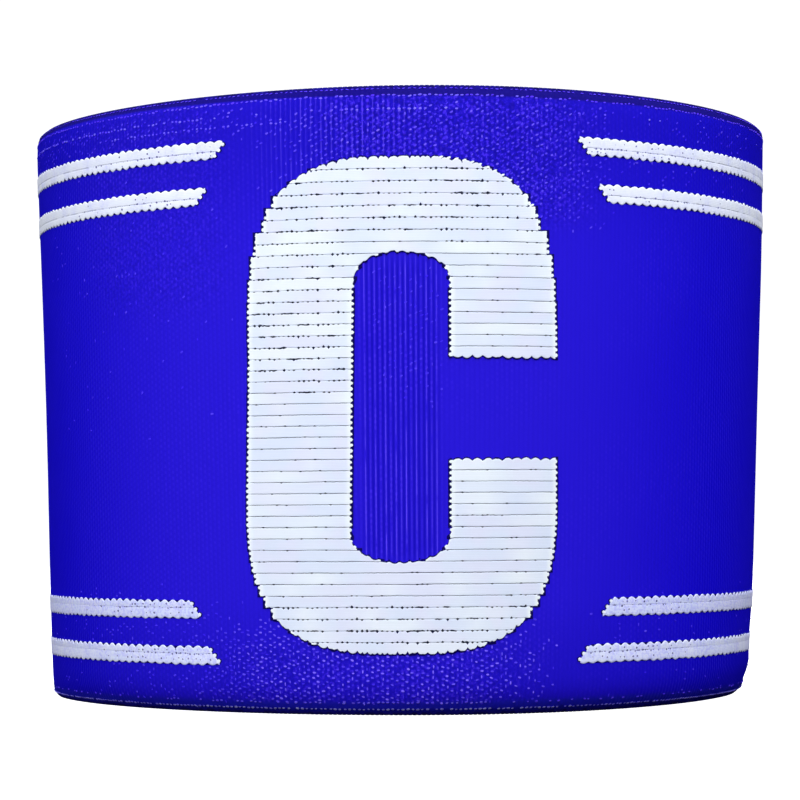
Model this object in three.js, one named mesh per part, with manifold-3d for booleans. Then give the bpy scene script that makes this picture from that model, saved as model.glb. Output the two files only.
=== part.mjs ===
// A captain's armband: one strip of thick elastic webbing, closed to a tube by a lap seam at the
// back, with a big white letter at the front and two white stripes along each rim.
// Millimetres, +Z up. The tube stands on its lower rim at Z = 0 and the letter faces -Y.
import * as THREE from "three";
import { mergeVertices } from "three/addons/utils/BufferGeometryUtils.js";
import Module from "manifold-3d";

// Band
const BAND_HEIGHT = 70;
const LOWER_RADIUS = 43.55; // outer face, before the rim rolls in
const UPPER_RADIUS = 46.05;
const BULGE = 0.1; // how far the wall swells between the rims
const WALL = 2;

// Rims, which roll inward and thin to a narrow edge
const RIM_HEIGHT = 4;
const LOWER_RIM_ROLL = 1.5;
const UPPER_RIM_ROLL = 0.3;

// Lap seam at the back
const LAP = 12; // how far the two ends overlap
const LAP_RAMP = 8; // over which each end eases aside to make room for the other
const LAP_CUT = 0.4; // slant of each cut end

// Woven figures, seated in the webbing
const INLAY = 0.8; // thickness
const PROUD = 0.15; // how far a figure stands above the wall
const CLEARANCE = 0.3; // between a figure and its seat

// Letter, measured along the wall
const LETTER_WIDTH = 35.5;
const LETTER_LOWER_MARGIN = 6.4; // from the lower rim
const LETTER_UPPER_MARGIN = 7.8;
const LETTER_SIDE_STROKE = 12.2;
const LETTER_END_STROKE = 10.7;
const LETTER_MOUTH = 11.4; // between the two arms
const LETTER_CORNER_HEIGHT = 13.3; // of the big outer corners
const LETTER_COUNTER_CORNER = 3;

// Stripes
const STRIPE_HEIGHT = 1.95;
const STRIPE_INSET = 6.35; // from a rim to the middle of its outer stripe
const STRIPE_PITCH = 5.2; // from the outer stripe to the inner one
const STRIPE_SLANT = 1.4; // how far a stripe's pointed end leans
const STRIPE_SEAM_GAP = 0.2; // between the seam's step and the seat of a stripe beside it

// Fineness of the faceted shapes
const SIDE_FACETS = 60;
const RAMP_FACETS = 4;
const BODY_ROWS = 4;
const OUTER_CORNER_STEPS = 10;
const COUNTER_CORNER_STEPS = 4;
const LEAST_FACET = 0.1; // a stripe has no station nearer than this to its ends
const CUT_REACH = 8; // how far the letter's cutter runs past the wall, in and out

// Powers of the superellipses that round the letter's corners
const OUTER_CORNER_POWER = 2.3;
const COUNTER_CORNER_POWER = 2;

// Sections of a rim. up is a share of RIM_HEIGHT from the edge, roll a share of the rim's roll,
// and wall a share of WALL.
const RIM_SECTIONS = [
  { up: 0, roll: 1, wall: 0.5 },
  { up: 0.1, roll: 0.72, wall: 0.8 },
  { up: 0.25, roll: 0.45, wall: 0.95 },
  { up: 0.5, roll: 0.18, wall: 1 },
  { up: 1, roll: 0, wall: 1 },
];

// Stations of the lap seam between its two ramps, from the right side round the back to the left.
// The place is a sum of shares of LAP and LAP_CUT from the middle of the back, and outer and inner
// are the shifts of the two faces, as shares of WALL.
const LAP_STATIONS = [
  { lap: 0.5, cut: 1, outer: -0.5, inner: -0.5 },
  { lap: 0.5, cut: 0, outer: 0.5, inner: -0.5 },
  { lap: 0, cut: 0, outer: 0.5, inner: -0.5 },
  { lap: -0.5, cut: 0, outer: 0.5, inner: -0.5 },
  { lap: -0.5, cut: -1, outer: 0.5, inner: 0.5 },
];

// The stripes. fromLetter is the distance along the wall from the letter's side to the middle of
// the stripe's pointed end.
const STRIPES = [
  { name: "upper_outer", upper: true, row: 0, fromLetter: 3.3 },
  { name: "upper_inner", upper: true, row: 1, fromLetter: 6 },
  { name: "lower_inner", upper: false, row: 1, fromLetter: 7.4 },
  { name: "lower_outer", upper: false, row: 0, fromLetter: 4.6 },
];

const WEBBING_BLUE = new THREE.MeshStandardMaterial({ color: 0x2416c8, roughness: 0.85, metalness: 0 });
const YARN_WHITE = new THREE.MeshStandardMaterial({ color: 0xeef2ff, roughness: 0.8, metalness: 0 });

const wasm = await Module();
wasm.setup();

// Lengths along the wall become angles at this radius. Angle 0 is the front, and it grows
// toward +X.
const arcRadius = (LOWER_RADIUS + UPPER_RADIUS) / 2;
const seatDepth = INLAY - PROUD + CLEARANCE;
const seamReach = LAP / 2 + LAP_CUT + LAP_RAMP;

// The wall's outer radius at a height, before the rims roll in.
function wallRadius(z) {
  const share = z / BAND_HEIGHT;
  return LOWER_RADIUS + (UPPER_RADIUS - LOWER_RADIUS) * share + BULGE * Math.sin(Math.PI * share);
}

// Rows of the wall from the lower rim to the upper one, each with its two radii.
function wallRows() {
  const rimRow = (section, z, rimRoll) => {
    const centre = wallRadius(z) - WALL / 2 - section.roll * rimRoll;
    const half = (section.wall * WALL) / 2;
    return { z, outer: centre + half, inner: centre - half };
  };
  const rows = RIM_SECTIONS.map((section) => rimRow(section, section.up * RIM_HEIGHT, LOWER_RIM_ROLL));
  for (let i = 1; i < BODY_ROWS; i++) {
    const z = RIM_HEIGHT + (i / BODY_ROWS) * (BAND_HEIGHT - 2 * RIM_HEIGHT);
    rows.push({ z, outer: wallRadius(z), inner: wallRadius(z) - WALL });
  }
  for (const section of [...RIM_SECTIONS].reverse())
    rows.push(rimRow(section, BAND_HEIGHT - section.up * RIM_HEIGHT, UPPER_RIM_ROLL));
  return rows;
}

// Stations of one ramp beside the lap, on the right side or the left, from its far end or toward it.
function rampStations(side) {
  const stations = [];
  for (let i = 1; i <= RAMP_FACETS; i++) {
    const along = i / RAMP_FACETS;
    const shift = -side * (WALL / 2) * (1 - along * along * (3 - 2 * along));
    stations.push({ place: side * (LAP / 2 + LAP_CUT + along * LAP_RAMP), outer: shift, inner: shift });
  }
  return side > 0 ? stations.reverse() : stations;
}

// Shifts of the two faces at a distance from the middle of the back.
const seamStations = [
  ...rampStations(1),
  ...LAP_STATIONS.map((row) => ({
    place: row.lap * LAP + row.cut * LAP_CUT,
    outer: row.outer * WALL,
    inner: row.inner * WALL,
  })),
  ...rampStations(-1),
];
function faceShift(place) {
  for (let i = 1; i < seamStations.length; i++) {
    const right = seamStations[i - 1];
    const left = seamStations[i];
    if (place > right.place || place < left.place) continue;
    const share = (right.place - place) / (right.place - left.place);
    return {
      outer: right.outer + share * (left.outer - right.outer),
      inner: right.inner + share * (left.inner - right.inner),
    };
  }
  return { outer: 0, inner: 0 };
}

// Angles of the wall's stations: first through the seam, then round the front.
const seamAngles = seamStations.map((station) => -Math.PI - station.place / arcRadius);
const sideAngles = [];
for (let i = 1; i < SIDE_FACETS; i++)
  sideAngles.push((2 * i / SIDE_FACETS - 1) * (Math.PI - seamReach / arcRadius));

// An angle's distance from the middle of the back, positive on the right side. Angles below
// -180 degrees have gone past the back.
function placeOf(angle) {
  return angle <= 0 ? -(angle + Math.PI) * arcRadius : (Math.PI - angle) * arcRadius;
}

function pointAt(angle, radius, z) {
  return [radius * Math.sin(angle), -radius * Math.cos(angle), z];
}

function geometryOf(points, triangles) {
  const geometry = new THREE.BufferGeometry();
  geometry.setAttribute("position", new THREE.Float32BufferAttribute(points.flat(), 3));
  geometry.setIndex(triangles.flat());
  return geometry;
}

// A solid between an outer and an inner face, given as sections that hold points from bottom to
// top on both faces. A closed solid joins its last section to its first.
function wallGeometry(sections, closed) {
  const rows = sections[0].outer.length;
  const points = sections.flatMap((section) => [...section.outer, ...section.inner]);
  const outer = (i, k) => (i % sections.length) * 2 * rows + k;
  const inner = (i, k) => outer(i, k) + rows;
  const triangles = [];
  const spans = closed ? sections.length : sections.length - 1;
  for (let i = 0; i < spans; i++) {
    const j = i + 1;
    for (let k = 0; k < rows - 1; k++) {
      triangles.push([outer(i, k), outer(j, k), outer(j, k + 1)]);
      triangles.push([outer(i, k), outer(j, k + 1), outer(i, k + 1)]);
      triangles.push([inner(i, k), inner(j, k + 1), inner(j, k)]);
      triangles.push([inner(i, k), inner(i, k + 1), inner(j, k + 1)]);
    }
    const top = rows - 1;
    triangles.push([inner(i, top), outer(i, top), outer(j, top)]);
    triangles.push([inner(i, top), outer(j, top), inner(j, top)]);
    triangles.push([inner(i, 0), outer(j, 0), outer(i, 0)]);
    triangles.push([inner(i, 0), inner(j, 0), outer(j, 0)]);
  }
  if (!closed) {
    const last = sections.length - 1;
    for (let k = 0; k < rows - 1; k++) {
      triangles.push([outer(0, k), outer(0, k + 1), inner(0, k + 1)]);
      triangles.push([outer(0, k), inner(0, k + 1), inner(0, k)]);
      triangles.push([outer(last, k), inner(last, k + 1), outer(last, k + 1)]);
      triangles.push([outer(last, k), inner(last, k), inner(last, k + 1)]);
    }
  }
  return geometryOf(points, triangles);
}

// The webbing without seats.
function bandGeometry() {
  const rows = wallRows();
  const sections = [...seamAngles, ...sideAngles].map((angle, i) => {
    const shift = i < seamStations.length ? seamStations[i] : { outer: 0, inner: 0 };
    return {
      outer: rows.map((row) => pointAt(angle, row.outer + shift.outer, row.z)),
      inner: rows.map((row) => pointAt(angle, row.inner + shift.inner, row.z)),
    };
  });
  return wallGeometry(sections, true);
}

// A layer that follows the front of the wall's outer face, from below it to above it.
function frontLayerGeometry(below, above) {
  const rows = wallRows().slice(1, -1);
  const angles = sideAngles.filter((angle) => Math.abs(angle) < Math.PI / 2);
  const sections = angles.map((angle) => ({
    outer: rows.map((row) => pointAt(angle, row.outer + above, row.z)),
    inner: rows.map((row) => pointAt(angle, row.outer - below, row.z)),
  }));
  return wallGeometry(sections, false);
}

// A quarter of a superellipse round a corner, from one side to the next.
function cornerPoints(centre, reach, steps, startDegrees, power) {
  const points = [];
  for (let i = 0; i <= steps; i++) {
    const turn = THREE.MathUtils.degToRad(startDegrees + (90 * i) / steps);
    const along = Math.sign(Math.cos(turn)) * Math.abs(Math.cos(turn)) ** (2 / power);
    const up = Math.sign(Math.sin(turn)) * Math.abs(Math.sin(turn)) ** (2 / power);
    points.push(new THREE.Vector2(centre[0] + along * reach[0], centre[1] + up * reach[1]));
  }
  return points;
}

// The letter's outline, counterclockwise from the outside, grown by a clearance.
function letterOutline(grow) {
  const half = LETTER_WIDTH / 2 + grow;
  const low = LETTER_LOWER_MARGIN - grow;
  const high = BAND_HEIGHT - LETTER_UPPER_MARGIN + grow;
  const corner = [half, LETTER_CORNER_HEIGHT + grow];
  const counterHalf = LETTER_WIDTH / 2 - LETTER_SIDE_STROKE - grow;
  const counterLow = LETTER_LOWER_MARGIN + LETTER_END_STROKE + grow;
  const counterHigh = BAND_HEIGHT - LETTER_UPPER_MARGIN - LETTER_END_STROKE - grow;
  const round = LETTER_COUNTER_CORNER;
  const middle = (BAND_HEIGHT + LETTER_LOWER_MARGIN - LETTER_UPPER_MARGIN) / 2;
  const mouth = LETTER_MOUTH / 2 - grow;
  const outerCorner = (z, start) =>
    cornerPoints([0, z], corner, OUTER_CORNER_STEPS, start, OUTER_CORNER_POWER);
  const counterCorner = (x, z, start) =>
    cornerPoints([x, z], [round, round], COUNTER_CORNER_STEPS, start, COUNTER_CORNER_POWER).reverse();
  return [
    new THREE.Vector2(half, middle + mouth),
    ...outerCorner(high - corner[1], 0),
    ...outerCorner(high - corner[1], 90).slice(1),
    ...outerCorner(low + corner[1], 180),
    ...outerCorner(low + corner[1], 270).slice(1),
    new THREE.Vector2(half, middle - mouth),
    new THREE.Vector2(counterHalf, middle - mouth),
    ...counterCorner(counterHalf - round, counterLow + round, 270),
    ...counterCorner(-counterHalf + round, counterLow + round, 180),
    ...counterCorner(-counterHalf + round, counterHigh - round, 90),
    ...counterCorner(counterHalf - round, counterHigh - round, 0),
    new THREE.Vector2(counterHalf, middle + mouth),
  ];
}

// The letter cut straight in toward the tube's axis, from outside the wall to inside it. Its flat
// triangles sag inward between the letter's sides, so it starts further out.
function letterCutterGeometry(grow) {
  const outline = letterOutline(grow);
  const count = outline.length;
  const ring = (radius) => outline.map((p) => pointAt(p.x / arcRadius, radius, p.y));
  const flattening = Math.cos((LETTER_WIDTH / 2 + grow) / arcRadius);
  const outside = Math.max(LOWER_RADIUS, UPPER_RADIUS) / flattening + CUT_REACH;
  const inside = Math.min(LOWER_RADIUS, UPPER_RADIUS) - CUT_REACH;
  const points = [...ring(outside), ...ring(inside)];
  const triangles = [];
  for (const [a, b, c] of THREE.ShapeUtils.triangulateShape(outline, [])) {
    triangles.push([a, b, c]);
    triangles.push([count + a, count + c, count + b]);
  }
  for (let i = 0; i < count; i++) {
    const j = (i + 1) % count;
    triangles.push([count + i, count + j, j]);
    triangles.push([count + i, j, i]);
  }
  return geometryOf(points, triangles);
}

// A bar along the wall's outer face on one side of the letter, from its pointed end to the seam.
// Grown, it is the stripe's seat.
function stripeGeometry(stripe, side, grow, below, above) {
  const inset = STRIPE_INSET + stripe.row * STRIPE_PITCH;
  const middle = stripe.upper ? BAND_HEIGHT - inset : inset;
  const low = middle - STRIPE_HEIGHT / 2 - grow;
  const high = middle + STRIPE_HEIGHT / 2 + grow;
  const slope = STRIPE_SLANT / STRIPE_HEIGHT;
  const front = LETTER_WIDTH / 2 + stripe.fromLetter - grow * Math.hypot(1, slope);
  const lean = (stripe.upper ? 1 : -1) * slope * (STRIPE_HEIGHT / 2 + grow);
  const beside = LAP / 2 + LAP_CUT + STRIPE_SEAM_GAP + CLEARANCE - grow;
  const back = side < 0 ? -Math.PI - (LAP / 2 + grow) / arcRadius : Math.PI - beside / arcRadius;
  const clearOfPoint = (front + Math.abs(lean) + LEAST_FACET) / arcRadius;
  const clearOfBack = Math.abs(back) - LEAST_FACET / arcRadius;
  const seamSide = seamAngles.map((angle) => (side < 0 ? angle : angle + 2 * Math.PI));
  const between = [...seamSide, ...sideAngles].filter(
    (angle) => side * angle > clearOfPoint && side * angle < clearOfBack,
  );
  const angles = [...between, back].sort((a, b) => a - b);
  const section = (lowAngle, highAngle) => {
    const place = (angle) => (side < 0 ? Math.min(placeOf(angle), LAP / 2) : placeOf(angle));
    const face = (angle, z) => wallRadius(z) + faceShift(place(angle)).outer;
    return {
      outer: [
        pointAt(lowAngle, face(lowAngle, low) + above, low),
        pointAt(highAngle, face(highAngle, high) + above, high),
      ],
      inner: [
        pointAt(lowAngle, face(lowAngle, low) - below, low),
        pointAt(highAngle, face(highAngle, high) - below, high),
      ],
    };
  };
  const sections = angles.map((angle) => section(angle, angle));
  const point = section((side * (front + lean)) / arcRadius, (side * (front - lean)) / arcRadius);
  return wallGeometry(side < 0 ? [...sections, point] : [point, ...sections], false);
}

// Conversions between three.js geometry and solids that can be cut.
const SAME_POINT = 1e-4;
function solidOf(geometry) {
  const merged = mergeVertices(geometry, SAME_POINT);
  return new wasm.Manifold(
    new wasm.Mesh({
      numProp: 3,
      vertProperties: merged.attributes.position.array,
      triVerts: new Uint32Array(merged.index.array),
    }),
  );
}

function meshOf(name, solid, material) {
  const cut = solid.getMesh();
  const geometry = new THREE.BufferGeometry();
  geometry.setAttribute("position", new THREE.BufferAttribute(new Float32Array(cut.vertProperties), 3));
  geometry.setIndex(new THREE.BufferAttribute(new Uint32Array(cut.triVerts), 1));
  geometry.computeVertexNormals();
  const mesh = new THREE.Mesh(geometry, material);
  mesh.name = name;
  return mesh;
}

const armband = new THREE.Group();

// Letter
const letter = solidOf(letterCutterGeometry(0)).intersect(
  solidOf(frontLayerGeometry(INLAY - PROUD, PROUD)),
);
armband.add(meshOf("captain_letter", letter, YARN_WHITE));

// Stripes, and the webbing with a seat for each figure
let webbing = solidOf(bandGeometry()).subtract(
  solidOf(letterCutterGeometry(CLEARANCE)).intersect(
    solidOf(frontLayerGeometry(seatDepth, CUT_REACH / 2)),
  ),
);
for (const stripe of STRIPES)
  for (const side of [-1, 1]) {
    const name = `stripe_${stripe.name}_${side < 0 ? "left" : "right"}`;
    const bar = solidOf(stripeGeometry(stripe, side, 0, INLAY - PROUD, PROUD));
    armband.add(meshOf(name, bar, YARN_WHITE));
    const seat = solidOf(stripeGeometry(stripe, side, CLEARANCE, seatDepth, WALL));
    webbing = webbing.subtract(seat);
  }
armband.add(meshOf("band_webbing", webbing, WEBBING_BLUE));

export default armband;
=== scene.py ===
"""A captain's armband of blue elastic webbing with a woven white letter and white stripes.

The band stands on its lower rim with the letter facing -Y. Shapes are worked out on the
unrolled wall: s is the distance along it from the front, z the height and h the distance
outward from its outer face, all in millimetres. A mesh turns them into metres.
"""
import math
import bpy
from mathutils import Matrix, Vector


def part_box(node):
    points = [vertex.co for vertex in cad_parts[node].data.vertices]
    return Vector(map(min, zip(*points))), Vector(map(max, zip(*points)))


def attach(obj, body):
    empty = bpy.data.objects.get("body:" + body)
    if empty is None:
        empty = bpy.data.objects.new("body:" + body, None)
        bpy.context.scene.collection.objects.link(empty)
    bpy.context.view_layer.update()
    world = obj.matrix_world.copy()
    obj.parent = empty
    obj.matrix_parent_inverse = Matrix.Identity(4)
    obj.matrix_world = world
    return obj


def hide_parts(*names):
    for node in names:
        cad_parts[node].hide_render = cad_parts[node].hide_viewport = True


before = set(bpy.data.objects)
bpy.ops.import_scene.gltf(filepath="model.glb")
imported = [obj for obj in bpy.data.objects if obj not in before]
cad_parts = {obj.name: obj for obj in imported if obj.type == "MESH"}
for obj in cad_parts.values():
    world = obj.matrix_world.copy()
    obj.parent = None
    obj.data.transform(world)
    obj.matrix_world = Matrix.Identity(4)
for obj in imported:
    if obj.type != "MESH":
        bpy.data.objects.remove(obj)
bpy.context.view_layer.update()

from types import SimpleNamespace

import bpy
import numpy as np
from mathutils import Matrix, Vector

MM = 0.001
random = np.random.default_rng(7)
uniform = random.uniform

# Band
BAND_LOW, BAND_HIGH = (corner.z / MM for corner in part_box("band_webbing"))
BAND_HEIGHT = BAND_HIGH - BAND_LOW
LOWER_RADIUS = 43.55
UPPER_RADIUS = 46.05
ARC_RADIUS = (LOWER_RADIUS + UPPER_RADIUS) / 2
BULGE = 0.1
WALL = 2
LAYER_GAP = 0.1  # between the two layers of the lap, shared by both
RIM_HEIGHT = 4
LOWER_RIM_ROLL = 1.5
UPPER_RIM_ROLL = 0.3
ROLL_POWER = 2.6
LEFT_SIDE = -1.6  # turns from the front at which the band's outline shows, in radians
RIGHT_SIDE = 1.55
RIM_ROUND = 0.9  # height over which a rim rounds to its edge

# Lap seam at the back
LAP = 12
LAP_RAMP = 8
STRIP_HALF = math.pi * ARC_RADIUS + LAP / 2

# Ribs of the weave, which run from rim to rim
RIBS = 492
RIB = 2 * math.pi * ARC_RADIUS / RIBS
RIB_RELIEF = 0.05
RIB_COLUMNS = 4
PICK = 0.67  # from one float of a rib to the next above it

# Small unevenness of a worn, stretched band
UPPER_WAVE = 0.23
UPPER_RIPPLE = 0.12
LOWER_SAG = 0.27

# Letter. Its two sides lean in toward the top, and its corners are superellipses.
LETTER_BOX_LOW, LETTER_BOX_HIGH = (corner.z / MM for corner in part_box("captain_letter"))
LETTER = {
    "low": LETTER_BOX_LOW + 0.25,
    "high": LETTER_BOX_HIGH - 0.15,
    "left": {"start": 18.75, "lean": -0.0344, "least": 17.4},
    "right": {"start": 18.27, "lean": -0.0105, "least": 17.7},
    "lower": {"height": 18.5, "power": 2.95},
    "upper": {"height": 20.8, "power": 3.0},
}
COUNTER = {
    "low": 16.85,
    "high": 51.4,
    "left": {"start": 6.14, "lean": -0.0194, "least": 5.0},
    "right": {"start": 5.5, "lean": 0.0, "least": 5.0},
    "lower": {"height": 3.1, "power": 2.1},
    "upper": {"height": 3.1, "power": 2.1},
}
LETTER_REACH = 19  # farther from the front than any row reaches
SAMPLES = 3600  # places over twice that reach at which a row's ends are looked for
MOUTH_LOW = 28.35
MOUTH_HIGH = 39.65
ARM_ROWS = 17  # rows of yarn above the mouth, and below it
MOUTH_ROWS = 9
UPPER_EASE = 0.05  # how much wider the rows grow toward the letter's ends
LOWER_EASE = 0.02
TOOTH = 0.26
PAIR_SLOPE = 0.45  # below this slope of the side, upper rows step in pairs
STEP_SLOPE = 0.95  # below this one they step singly, and above it they follow the arc

# Stripes
STRIPE_HEIGHT = 1.95
STRIPE_INSET = 6.35
STRIPE_PITCH = 5.2
STRIPE_SLANT = 1.65
STRIPE_SPLIT = 0.6  # share of a stripe's height that its wider row takes
STRIPE_FROM = 17.75  # where the fronts of the stripes are counted from
SEAM_STEP = 0.9  # from the top layer's cut end to the stripes beside it

# The yarns lie on the ribs. Heights are from the wall's outer face.
# Dark sheets under the letter and the stripes show round their edges as painted shadow
SHADE_SHEET_BASE = 0.05
SHADE_SHEET_RISE = 0.02
SHADE_SHEET_MARGIN = 0.13
YARN_BASE = 0.075
YARN_RISE = 0.11
STRIPE_SHADE_SHEET_BASE = 0.014
STRIPE_SHADE_LEVEL = 0.25  # how far up the loops the dark sheet behind them reaches; it paints their shadow outline
STRIPE_BASE = 0.03
STRIPE_RISE = 0.075

# Row counts from the rim, left and right move the fronts, loop is the length of one loop,
# tone is how bright the yarn is, and dotted how often dark yarn shows between its loops
STRIPE_KEYS = ("name", "upper", "row", "left", "right", "loop", "tone", "dotted")
STRIPES = [dict(zip(STRIPE_KEYS, values)) for values in (
    ("upper_outer", True, 0, 3.0, 3.6, 1.18, 0.75, 0.55),
    ("upper_inner", True, 1, 5.5, 6.3, 1.2, 0.8, 0.4),
    ("lower_inner", False, 1, 7.5, 7.3, 1.3, 0.25, 0.5),
    ("lower_outer", False, 0, 5.0, 4.1, 1.32, 0.5, 1.0),
)]


# The wall as a surface

strongest = np.maximum.reduce


def smooth(x):
    x = np.clip(x, 0, 1)
    return x * x * (3 - 2 * x)


def bell(x, width):
    return np.exp(-((x / width) ** 2))


def wall_radius(z):
    share = z / BAND_HEIGHT
    return LOWER_RADIUS + (UPPER_RADIUS - LOWER_RADIUS) * share + BULGE * np.sin(math.pi * share)


def rim_roll(s, z):
    """How far the rims curl in. The lower one hardly does on the left, nor the upper one on
    the right."""
    low = np.clip(1 - z / RIM_HEIGHT, 0, 1) ** ROLL_POWER
    high = np.clip(1 - (BAND_HEIGHT - z) / RIM_HEIGHT, 0, 1) ** ROLL_POWER
    left = bell(s / ARC_RADIUS - LEFT_SIDE, 0.5)
    right = bell(s / ARC_RADIUS - RIGHT_SIDE, 0.5)
    return low * LOWER_RIM_ROLL * (1 - 0.97 * left) + high * UPPER_RIM_ROLL * (1 - 0.9 * right)


def layer_shift(s):
    """The left end of the strip eases outward to lie on top, and the right end inward."""
    from_end = STRIP_HALF - np.abs(s)
    return -np.sign(s) * WALL / 2 * (1 - smooth((from_end - LAP) / LAP_RAMP))


def unevenness(s, z):
    """The wall stands out low on the left and along the right, and is dented low there."""
    left = bell(s / ARC_RADIUS - LEFT_SIDE, 0.55)
    right = bell(s / ARC_RADIUS - RIGHT_SIDE, 0.5)
    left_swell = 0.42 * smooth((36 - z) / 34) - 0.1 * bell(z - 47, 16)
    right_swell = 0.15 + 0.12 * bell(z - 54, 10)
    dent = 0.28 * bell(z - 6, 4.2) + 0.45 * bell(z - 2, 1)
    return left * left_swell + right * (right_swell - dent)


def centre_radius(s, z):
    return wall_radius(z) - WALL / 2 - rim_roll(s, z) + layer_shift(s) + unevenness(s, z)


def half_thickness(z):
    from_rim = np.minimum(z, BAND_HEIGHT - z)
    rounding = 1 - np.clip(from_rim / RIM_ROUND, 0, 1)
    return (WALL - LAYER_GAP) / 2 * np.sqrt(1 - rounding**2)


def to_space(s, z, radius):
    """Points in metres. The rims wave a little at the front and not at the back."""
    turn = s / ARC_RADIUS
    front = np.cos(turn / 2) ** 2
    share = np.clip(z / BAND_HEIGHT, 0, 1)
    upper = UPPER_WAVE * np.sin(1.8 * turn) + UPPER_RIPPLE * np.cos(3 * turn)
    lower = LOWER_SAG * bell(turn - 0.3, 0.7)
    wave = upper * front * share**6 - lower * (1 - share) ** 16
    return np.stack([radius * np.sin(turn), -radius * np.cos(turn), z + wave], -1) * MM


def face_radius(s, z):
    return centre_radius(s, z) + half_thickness(z)


def on_wall(s, z, h):
    return to_space(s, z, face_radius(s, z) + h)


def box_share(x, low, high, fade):
    """1 between low and high and 0 outside, with soft ends."""
    return smooth((x - low) / fade + 0.5) * smooth((high - x) / fade + 0.5)


def field(share, s_range, z_range):
    """A stretch of the wall. Its ranges hold two ends and how softly they fade."""
    return lambda s, z: share * box_share(s, *s_range) * box_share(z, *z_range)


def all_fields(fields, s, z):
    return strongest([share(s, z) for share in fields])


LIVELY_FIELDS = [field(0.35, (-4.6, 4.2, 2), (18, 50, 4)), field(0.8, (-16, 1, 8), (55, 69, 3))]


def rib_relief(s, z):
    """How high the ribs stand: more in the letter's counter, and above it on the left."""
    return RIB_RELIEF * (0.25 + 0.75 * all_fields(LIVELY_FIELDS, s, z))


# Gathering meshes

SHARP_ANGLE = math.radians(60)


def add_object(name, data):
    made = bpy.data.objects.new(name, data)
    bpy.context.scene.collection.objects.link(made)
    return made


class Shape:
    """Points and faces gathered for one piece, with a tone from 0 to 1 for each point."""

    def __init__(self):
        self.points = []
        self.tones = []
        self.faces = []
        self.count = 0

    def add(self, points, faces, tone=0.5):
        """points is (n, 3) in metres. faces is a list of (m, k) arrays of point numbers."""
        self.points.append(points.reshape(-1, 3))
        count = len(self.points[-1])
        self.tones.append(np.broadcast_to(np.asarray(tone, float), (count,)))
        self.faces += [np.atleast_2d(group) + self.count for group in faces]
        self.count += count

    def piece(self, name, material):
        points = np.concatenate(self.points)
        corners = np.concatenate([group.ravel() for group in self.faces])
        sizes = np.concatenate([np.full(len(group), group.shape[1]) for group in self.faces])
        mesh = bpy.data.meshes.new(name)
        mesh.vertices.add(len(points))
        mesh.vertices.foreach_set("co", points.astype(np.float32).ravel())
        mesh.loops.add(len(corners))
        mesh.loops.foreach_set("vertex_index", corners.astype(np.int32))
        mesh.polygons.add(len(sizes))
        starts = np.concatenate([[0], np.cumsum(sizes)[:-1]])
        mesh.polygons.foreach_set("loop_start", starts.astype(np.int32))
        mesh.update(calc_edges=True)
        mesh.validate()
        tone = mesh.attributes.new("tone", "FLOAT", "POINT")
        tone.data.foreach_set("value", np.concatenate(self.tones).astype(np.float32))
        mesh.shade_smooth()
        mesh.set_sharp_from_angle(angle=SHARP_ANGLE)
        mesh.materials.append(material)
        made = add_object(name, mesh)
        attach(made, "root")
        return made


def grid_faces(columns, rows, closed=False):
    """Quads between columns of points, each column running upward on an outward face."""
    k = np.arange(rows if closed else rows - 1)
    i = np.arange(columns - 1)
    here = (i[:, None] * rows + k).ravel()
    up = (i[:, None] * rows + (k + 1) % rows).ravel()
    return np.stack([here, here + rows, up + rows, up], -1)


def tube_faces(columns, rows):
    """The faces of a closed tube of such columns, with a cap at each end."""
    caps = [np.arange(rows)[::-1], np.arange(rows) + (columns - 1) * rows]
    return [grid_faces(columns, rows, closed=True), *caps]


def spread(value, count):
    """One value, or one for each place, as a column."""
    return np.broadcast_to(value, (count,))[:, None]


# Webbing: one strip, rib by rib, with rounded rims and two cut ends

def rim_steps(count):
    """Heights that crowd toward the edge of a rounded rim."""
    return RIM_HEIGHT * (np.arange(count) / count) ** 2.5


def webbing_piece(material):
    quarter = RIB / RIB_COLUMNS
    half_count = int(STRIP_HALF / quarter)
    s = np.arange(-half_count, half_count + 1) * quarter
    outer_z = np.concatenate([
        rim_steps(7)[1:],
        [4, 5.5, 7.5, 10, 14, 20, 28, 36, 44, 52, 58, 62.5, 66],
        BAND_HEIGHT - rim_steps(6)[:0:-1],
    ])
    inner_z = np.concatenate([
        BAND_HEIGHT - rim_steps(5)[1:], [66, 56, 44, 30, 16, 8, 4], rim_steps(5)[:0:-1],
    ])
    z = np.concatenate([[0], outer_z, [BAND_HEIGHT], inner_z])
    side = np.concatenate([[0], np.ones(len(outer_z)), [0], -np.ones(len(inner_z))])
    s, z = np.meshgrid(s, z, indexing="ij")
    from_rim = np.minimum(z, BAND_HEIGHT - z)
    crest = np.cos(2 * math.pi * s / RIB) * rib_relief(s, z) * smooth(from_rim / 1.5)
    end = smooth((STRIP_HALF - np.abs(s)) / 0.5)
    thickness = half_thickness(z) * (0.82 + 0.18 * end) + crest * end
    fray = 0.12 * np.sin(z * 2.3) * (1 - end)
    points = to_space(s + fray, z, centre_radius(s, z) + side * thickness)
    shape = Shape()
    shape.add(points, tube_faces(*s.shape))
    return shape.piece("webbing", material)


# Yarn that lies on the wall

def add_strip(shape, s, low, high, profile, rise=YARN_RISE, base=YARN_BASE, tone=0.5):
    """A crowned strip of yarn between two edges, closed below. profile holds (share of the
    width, share of the rise), and starts and ends at the base."""
    share, lift = np.array(profile).T
    z = low[:, None] + (high - low)[:, None] * share
    height = base + spread(rise, len(s)) * lift
    points = on_wall(np.repeat(s[:, None], len(profile), 1), z, height)
    columns, rows = z.shape
    i = np.arange(columns - 1) * rows
    below = np.stack([i, i + rows - 1, i + 2 * rows - 1, i + rows], -1)
    caps = [np.arange(rows), np.arange(rows)[::-1] + (columns - 1) * rows]
    tones = np.repeat(spread(tone, columns), rows)
    shape.add(points, [grid_faces(columns, rows), below, *caps], tones)


AROUND = 6  # points round a bead or a thread
TURN = np.arange(AROUND) * 2 * math.pi / AROUND


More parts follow.
